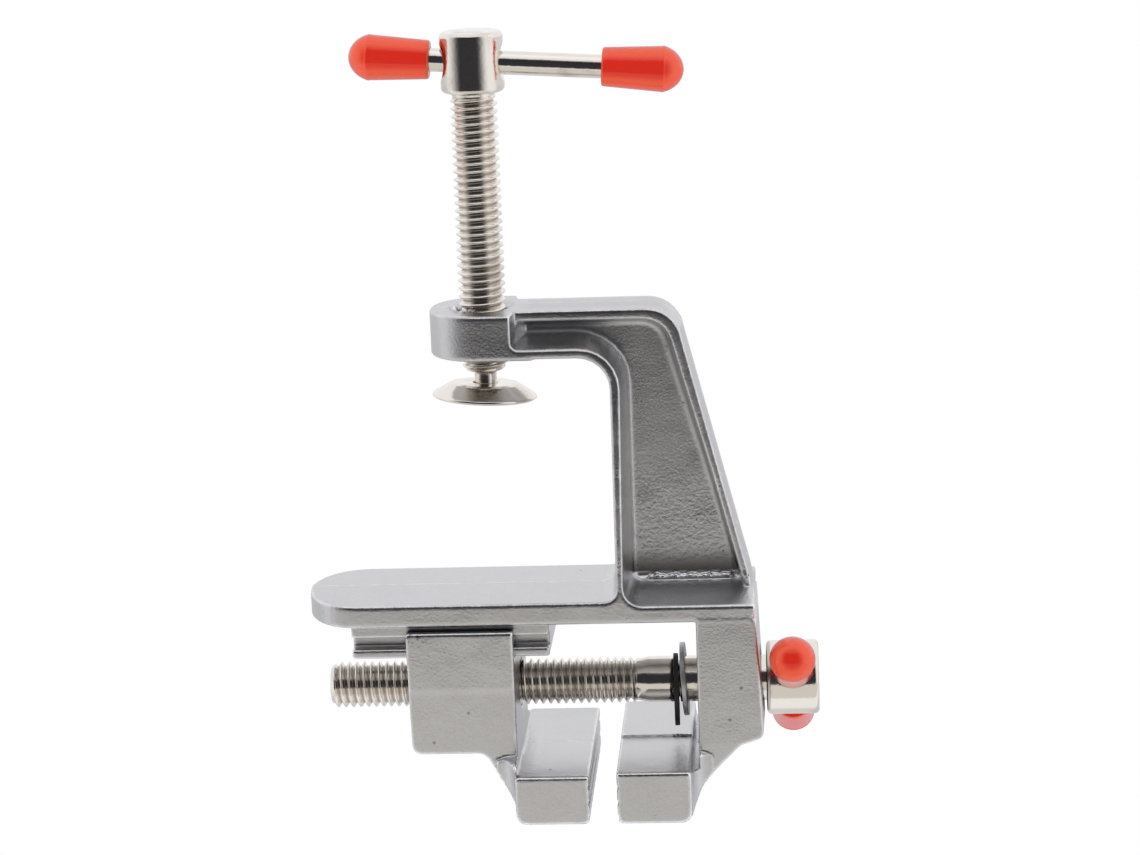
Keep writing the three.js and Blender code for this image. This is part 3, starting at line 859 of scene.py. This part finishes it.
# ---- spring clip and washer ----------------------------------------------------------------
# A blackened spring-steel clip is pushed onto the screw's groove from the jaws' side, and
# hangs a little low. A zinc-plated washer rides loose between it and the leg.
CLIP_RADIUS, CLIP_THICK, CLIP_DROP, CLIP_EYE, CLIP_MOUTH_HALF = 6.0, 0.8, 1.6, 3.15, 1.6
CLIP_TURN = math.radians(22)
WASHER_X, WASHER_HALF, WASHER_HOLE, WASHER_RADIUS = -30.35, 0.4, 4.2, 6.0
WASHER_TILT = math.radians(3)
OXIDE_BLACK, OXIDE_GREY, OXIDE_RUBBED = (0.012, 0.012, 0.014), (0.035, 0.034, 0.036), (0.10, 0.10, 0.11)
ZINC_DARK, ZINC_LIGHT, ZINC_RUBBED = (0.62, 0.63, 0.64), (0.80, 0.80, 0.81), (0.9, 0.9, 0.9)


def small_metal_material(name, metallic, grain_sizes, wear, dark, light, rubbed, roughness):
    """A plain finish for a small steel piece: mottled, and brighter where it is rubbed."""
    material, tree, shader, place = begin_material(name, metallic)
    grain, mottle = grain_in(tree, place, *grain_sizes)
    worn = wear_in(tree, place, *wear)
    colour = blend_colour(tree, mottle, dark, light)
    colour = blend_colour(tree, worn, colour, rubbed)
    smoothest, spread = roughness
    rough = weighed(tree, smoothest, (mottle, spread))
    finish_material(tree, shader, colour, rough, grain, 0.02)
    return material


black_oxide = small_metal_material(
    "black_oxide_steel", 0.3, (1800.0, 300.0), (0.60, 700.0),
    OXIDE_BLACK, OXIDE_GREY, OXIDE_RUBBED, (0.42, 0.2),
)
zinc = small_metal_material(
    "zinc_plate", 1.0, (1300.0, 240.0), (0.55, 600.0),
    ZINC_DARK, ZINC_LIGHT, ZINC_RUBBED, (0.3, 0.25),
)


def clip_field(x, y, z):
    """An E-clip: a crescent with a mouth, and three teeth that reach the screw's groove. It
    has turned a little on the screw."""
    side, up = math.cos(CLIP_TURN), math.sin(CLIP_TURN)
    dy = y * side + (z - VISE_AXIS) * up
    dz = (z - VISE_AXIS) * side - y * up
    disc = np.hypot(dy, dz - CLIP_DROP) - CLIP_RADIUS
    eye = np.hypot(dy, dz) - CLIP_EYE
    relief = np.minimum(
        np.hypot(np.abs(dy) - 2.5, dz - 2.9) - 1.4,
        np.hypot(np.abs(dy) - 3.2, dz + 0.8) - 0.7,
    )
    mouth = np.maximum(np.abs(dy) - CLIP_MOUTH_HALF + np.minimum(dz, 0) * 0.05, dz)
    shape = cut(cut(disc, np.minimum(eye, relief), 0.15), mouth, 0.3)
    middle = CLIP_X - CLIP_THICK / 2 + 0.03 * y
    return common(shape, np.abs(x - middle) - CLIP_THICK / 2, 0.12)


clip = skin(
    "spring_clip", clip_field, (CLIP_X - 1.3, -7.3, VISE_AXIS - 5.6),
    (CLIP_X + 0.6, 6.6, VISE_AXIS + 8.2), 0.12 if fine else 0.25,
)
clip.data.materials.append(black_oxide)
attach(clip, "vise_screw")
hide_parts("retaining_clip")

washer_section = filleted([
    (-WASHER_HALF, WASHER_HOLE, 0.1), (-WASHER_HALF, WASHER_RADIUS, 0.15),
    (WASHER_HALF, WASHER_RADIUS, 0.15), (WASHER_HALF, WASHER_HOLE, 0.1),
], 3)
washer = wrapped(
    "thrust_washer_ring",
    [(lathe_rows(washer_section + [(-WASHER_HALF, WASHER_HOLE + 0.1)]), 0)],
    spot((WASHER_X, 0, VISE_AXIS), (math.cos(WASHER_TILT), 0, math.sin(WASHER_TILT))),
    zinc,
)
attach(washer, "vise_screw")
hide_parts("thrust_washer")


# ---- tommy bars and their caps -------------------------------------------------------------
# Each screw is turned by a plain plated bar that slides through its head. Moulded vinyl caps
# are pushed over its ends, tapered to leave their mould, and round at the closed end.
CAP_LENGTH, CAP_OPEN, CAP_WIDE, CAP_GRIP = 12.8, 3.05, 3.6, 9.0
CAP_DOME, CAP_DOME_RADIUS, CAP_SLACK = 4.3, 3.75, 0.06
VISE_BAR_SHORT, VISE_BAR_LONG = -19.3, 36.0
CLAMP_BAR_SHORT, CLAMP_BAR_LONG, CLAMP_BAR_Z = -19.4, 33.2, -85.35
CLAMP_TILT = math.radians(4)
VINYL_RED, VINYL_ORANGE = (0.96, 0.085, 0.028), (1.0, 0.115, 0.040)
VINYL_DARK_REFLECTION, VINYL_RIM_SHADE = (0.80, 0.022, 0.006), (0.72, 0.012, 0.006)


def vinyl_material():
    """Glossy moulded vinyl, slightly uneven. Where it is seen square on it is a deeper red,
    a painted reflection of the tent's dark opening, and its rim is darker as painted shade."""
    material, tree, shader, place = begin_material("red_vinyl", 0.0, coat=0.75)
    shader.inputs["Coat Roughness"].default_value = 0.13
    shader.inputs["Specular IOR Level"].default_value = 0.15
    grain, mottle = grain_in(tree, place, 700.0, 120.0)
    facing = put(tree, "ShaderNodeLayerWeight", Blend=0.5).outputs["Facing"]
    colour = blend_colour(tree, mottle, VINYL_RED, VINYL_ORANGE)
    # Painted reflection: deeper red where the cap faces the camera; painted shade: darker at its rim.
    colour = blend_colour(tree, ramp(tree, facing, 0.03, 0.22, 1.0, 0.0), colour, VINYL_DARK_REFLECTION)
    colour = blend_colour(tree, ramp(tree, facing, 0.45, 0.85), colour, VINYL_RIM_SHADE)
    rough = weighed(tree, 0.24, (mottle, 0.14))
    finish_material(tree, shader, colour, rough, grain, 0.03)
    return material


vinyl = vinyl_material()


def tommy_bar(name, node, body, centre, way, start, end):
    """A bar from start to end along way, its ends inside the caps."""
    room, chamfer = CAP_LENGTH - CAP_GRIP, 0.3
    first, last = start + room, end - room
    profile = [
        (first, 0), (first, BAR_RADIUS - chamfer), (first + chamfer, BAR_RADIUS),
        (last - chamfer, BAR_RADIUS), (last, BAR_RADIUS - chamfer), (last, 0),
    ]
    bar = wrapped(name, [(lathe_rows(profile, 1.5), 0)], spot(centre, way), nickel)
    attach(bar, body)
    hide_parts(node)


def bar_cap(name, node, body, centre, way, end):
    """A cap whose rounded end is at end along way. A negative end turns it about."""
    outward = math.copysign(1, end)
    mouth = Vector(centre) + Vector(way) * (end - outward * CAP_LENGTH)
    lip = [(9.3, CAP_WIDE - 0.01), (9.55, CAP_WIDE + 0.05), (9.75, CAP_WIDE + 0.01)]
    dome = [
        (CAP_LENGTH - CAP_DOME * (1 - math.sin(t)), CAP_DOME_RADIUS * math.cos(t))
        for t in np.linspace(0.31, 1.54, 14)
    ]
    bore, floor_at = BAR_RADIUS + CAP_SLACK, CAP_GRIP + 0.3
    inside = [(floor_at, 0), (floor_at, bore), (0, bore, 0.2), (0, CAP_OPEN, 0.4)]
    profile = filleted(inside + lip + dome, 4) + [(CAP_LENGTH, 0)]
    where = spot(mouth, Vector(way) * outward)
    cap = wrapped(name, [(lathe_rows(profile), 0)], where, vinyl)
    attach(cap, body)
    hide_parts(node)


vise_bar = ("vise_bar", vise_centre, vise_way)
tommy_bar("vise_bar_rod", "vise_tommy_bar", *vise_bar, VISE_BAR_SHORT, VISE_BAR_LONG)
bar_cap("vise_bar_far_cap", "vise_bar_cap_long_side", *vise_bar, VISE_BAR_LONG)
bar_cap("vise_bar_near_cap", "vise_bar_cap_short_side", *vise_bar, VISE_BAR_SHORT)

clamp_way = (-math.cos(CLAMP_TILT), 0, math.sin(CLAMP_TILT))
clamp_bar = ("clamp_bar", (0, 0, CLAMP_BAR_Z), clamp_way)
tommy_bar("clamp_bar_rod", "clamp_tommy_bar", *clamp_bar, CLAMP_BAR_SHORT, CLAMP_BAR_LONG)
bar_cap("clamp_bar_long_cap", "clamp_bar_cap_long_side", *clamp_bar, CLAMP_BAR_LONG)
bar_cap("clamp_bar_short_cap", "clamp_bar_cap_short_side", *clamp_bar, CLAMP_BAR_SHORT)


# ---- clamp screw ---------------------------------------------------------------------------
# The same thread, run through the boss from below. Its end is turned down to a pin, which
# is riveted into the pressure pad.
CLAMP_PIN_TOP, CLAMP_PIN_RADIUS, CLAMP_START, CLAMP_END = -33.2, 1.75, -36.1, -80.2
CLAMP_HEAD_SPAN, CLAMP_HEAD_RADIUS = (-90.1, -80.6), 5.0

clamp_spot = spot((0, 0, 0), (0, 0, 1))
pin = [
    (CLAMP_PIN_TOP, 0), (CLAMP_PIN_TOP, CLAMP_PIN_RADIUS), (CLAMP_START, CLAMP_PIN_RADIUS),
    (CLAMP_START, TIP_RADIUS),
]
into_head = [(CLAMP_END, RUN_OUT_RADIUS), (CLAMP_HEAD_SPAN[1] - 0.3, RUN_OUT_RADIUS)]
clamp_rod = wrapped(
    "clamp_screw_rod",
    [
        (lathe_rows(pin), 0),
        (thread_rows(CLAMP_START, CLAMP_END, TIP_RADIUS, RUN_OUT_RADIUS), -len(THREAD_ROWS)),
        (lathe_rows(into_head), 0),
    ],
    clamp_spot,
    nickel,
)
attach(clamp_rod, "clamp_screw")
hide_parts("clamp_screw")

clamp_head = head(
    "clamp_screw_head", clamp_spot, CLAMP_BAR_Z, CLAMP_HEAD_SPAN, CLAMP_HEAD_RADIUS,
    (1, 0), nickel,
)
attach(clamp_head, "clamp_screw")


# ---- pressure pad --------------------------------------------------------------------------
# A dished steel pad, pressed from plate and nickel plated. It hangs loose on the screw's
# pin, so it sits a few degrees out of square.
PAD_FACE, PAD_RADIUS, PAD_RIM, PAD_PLATEAU, PAD_HEIGHT = -31.4, 8.4, 0.6, 5.6, 2.5
PAD_HOLE, PAD_DISH, PAD_DISH_DEPTH = 2.0, 3.2, 0.7
PAD_LEAN_X, PAD_LEAN_Y = math.radians(3.4), math.radians(3.5)

pad_lean = Matrix.Rotation(PAD_LEAN_X, 4, "X") @ Matrix.Rotation(PAD_LEAN_Y, 4, "Y")
pad_profile = filleted([
    (1.1 - PAD_HEIGHT, 0), (1.1 - PAD_HEIGHT, PAD_HOLE), (-PAD_HEIGHT, PAD_HOLE, 0.15),
    (-PAD_HEIGHT, PAD_PLATEAU - 0.8, 0.5), (0.2 - PAD_HEIGHT, PAD_PLATEAU, 0.3),
    (-PAD_RIM, PAD_RADIUS - 0.1, 0.2), (-0.3, PAD_RADIUS, 0.15), (0, PAD_RADIUS - 0.4, 0.2),
    (0, PAD_DISH + 0.2, 0.3), (-PAD_DISH_DEPTH, PAD_DISH, 0.2), (-PAD_DISH_DEPTH, 0),
], 4)
pad = wrapped(
    "pressure_pad_dish", [(lathe_rows(pad_profile, 0.5), 0)],
    Matrix.Translation((0.3, 0, PAD_FACE)) @ pad_lean, nickel,
)
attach(pad, "pressure_pad")
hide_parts("pressure_pad")


# ---- camera, light and floor ---------------------------------------------------------------
# The vise is seen from the screw handles' side, turned over so that the clamp stands on
# top. A pale floor lies far below, and a tent of soft white light surrounds it, open where
# the camera looks in. A lit sheet above the jaws stands in for a bright table.
YAW, PITCH, ROLL = math.radians(3.95), math.radians(13.59), math.radians(-2.22)
CAMERA_AT = (-47.66, -499.23, -147.05)
OPEN_RIGHT, OPEN_LEFT = (math.radians(-66), -0.44), (math.radians(92), 0.66)
OPEN_LOW, OPEN_HIGH, BEHIND_SHARE = (-0.84, -0.68), (0.46, 0.32), 0.28
TENT_WHITE, TENT_DARK, TABLE_WARM = (0.97, 0.97, 1.0), (0.030, 0.030, 0.036), (1.0, 0.965, 0.92)
PAPER_DARK, PAPER_LIGHT = (0.86, 0.86, 0.86), (0.90, 0.90, 0.90)

camera = bpy.data.objects.new("camera", bpy.data.cameras.new("camera"))
bpy.context.collection.objects.link(camera)
bpy.context.scene.camera = camera
bpy.context.scene.view_settings.view_transform = "Standard"
camera.data.sensor_width = 36
camera.data.lens = 101.3
camera.data.clip_start = 0.05
camera.data.clip_end = 20
aim = (
    Matrix.Rotation(math.pi, 4, "Y")
    @ Matrix.Rotation(YAW, 4, "Z")
    @ Matrix.Rotation(math.pi / 2 - PITCH, 4, "X")
    @ Matrix.Rotation(ROLL, 4, "Z")
)
camera.matrix_world = Matrix.Translation(Vector(CAMERA_AT) * MM) @ aim


def tent_world():
    """White all round, with a soft dark opening towards -Y, wider than it is high, and a
    slight dimming behind. Only reflections show them: the camera itself sees white."""
    world = bpy.data.worlds.new("light_tent")
    world.use_nodes = True
    tree = world.node_tree
    sky = tree.nodes["Background"]
    way = put(tree, "ShaderNodeTexCoord").outputs["Generated"]
    x, y, z = put(tree, "ShaderNodeSeparateXYZ", Vector=way).outputs
    turn = maths(tree, "ARCTAN2", x, maths(tree, "MULTIPLY", y, -1.0))
    across = product(tree, ramp(tree, turn, *OPEN_RIGHT), ramp(tree, turn, *OPEN_LEFT))
    tall = product(tree, ramp(tree, z, *OPEN_LOW), ramp(tree, z, *OPEN_HIGH))
    behind = product(tree, ramp(tree, z, -0.02, 0.16), ramp(tree, y, 0.0, 0.35), BEHIND_SHARE)
    opening = maths(tree, "MAXIMUM", product(tree, across, tall), behind)
    path = put(tree, "ShaderNodeLightPath").outputs
    opening = maths(tree, "MULTIPLY", opening, path["Is Glossy Ray"])
    light = blend_colour(tree, opening, TENT_WHITE, TENT_DARK)
    tree.links.new(blend_colour(tree, path["Is Camera Ray"], light, (1, 1, 1)), sky.inputs["Color"])
    bpy.context.scene.world = world


def sheet(name, x, y, z):
    """A flat sheet of paper in the row's frame, in mm."""
    corners = [(x[0], y[0], z), (x[1], y[0], z), (x[1], y[1], z), (x[0], y[1], z)]
    thing = mesh_object(name, corners, [(0, 1, 2, 3)], False)
    return thing


tent_world()
glow = bpy.data.materials.new("table_glow")
glow.use_nodes = True
glow_shader = glow.node_tree.nodes["Principled BSDF"]
for socket_name, setting in (
    ("Base Color", (0, 0, 0, 1)),
    ("Specular IOR Level", 0),
    ("Emission Color", (*TABLE_WARM, 1)),
    ("Emission Strength", 0.72),
):
    glow_shader.inputs[socket_name].default_value = setting
table = sheet("table_glow", (-190, 190), (-215, -22), 40)
table.visible_camera = False
table.data.materials.append(glow)

floor = sheet("pale_floor", (-4000, 4000), (-4000, 4000), -560)
paper, paper_tree, paper_shader, paper_place = begin_material("pale_paper", 0.0)
paper_grain, paper_mottle = grain_in(paper_tree, paper_place, 200.0, 4.0)
finish_material(
    paper_tree, paper_shader,
    blend_colour(paper_tree, paper_mottle, PAPER_DARK, PAPER_LIGHT),
    weighed(paper_tree, 0.6, (paper_mottle, 0.1)),
    paper_grain, 0.1,
)
floor.data.materials.append(paper)
floor.visible_glossy = False
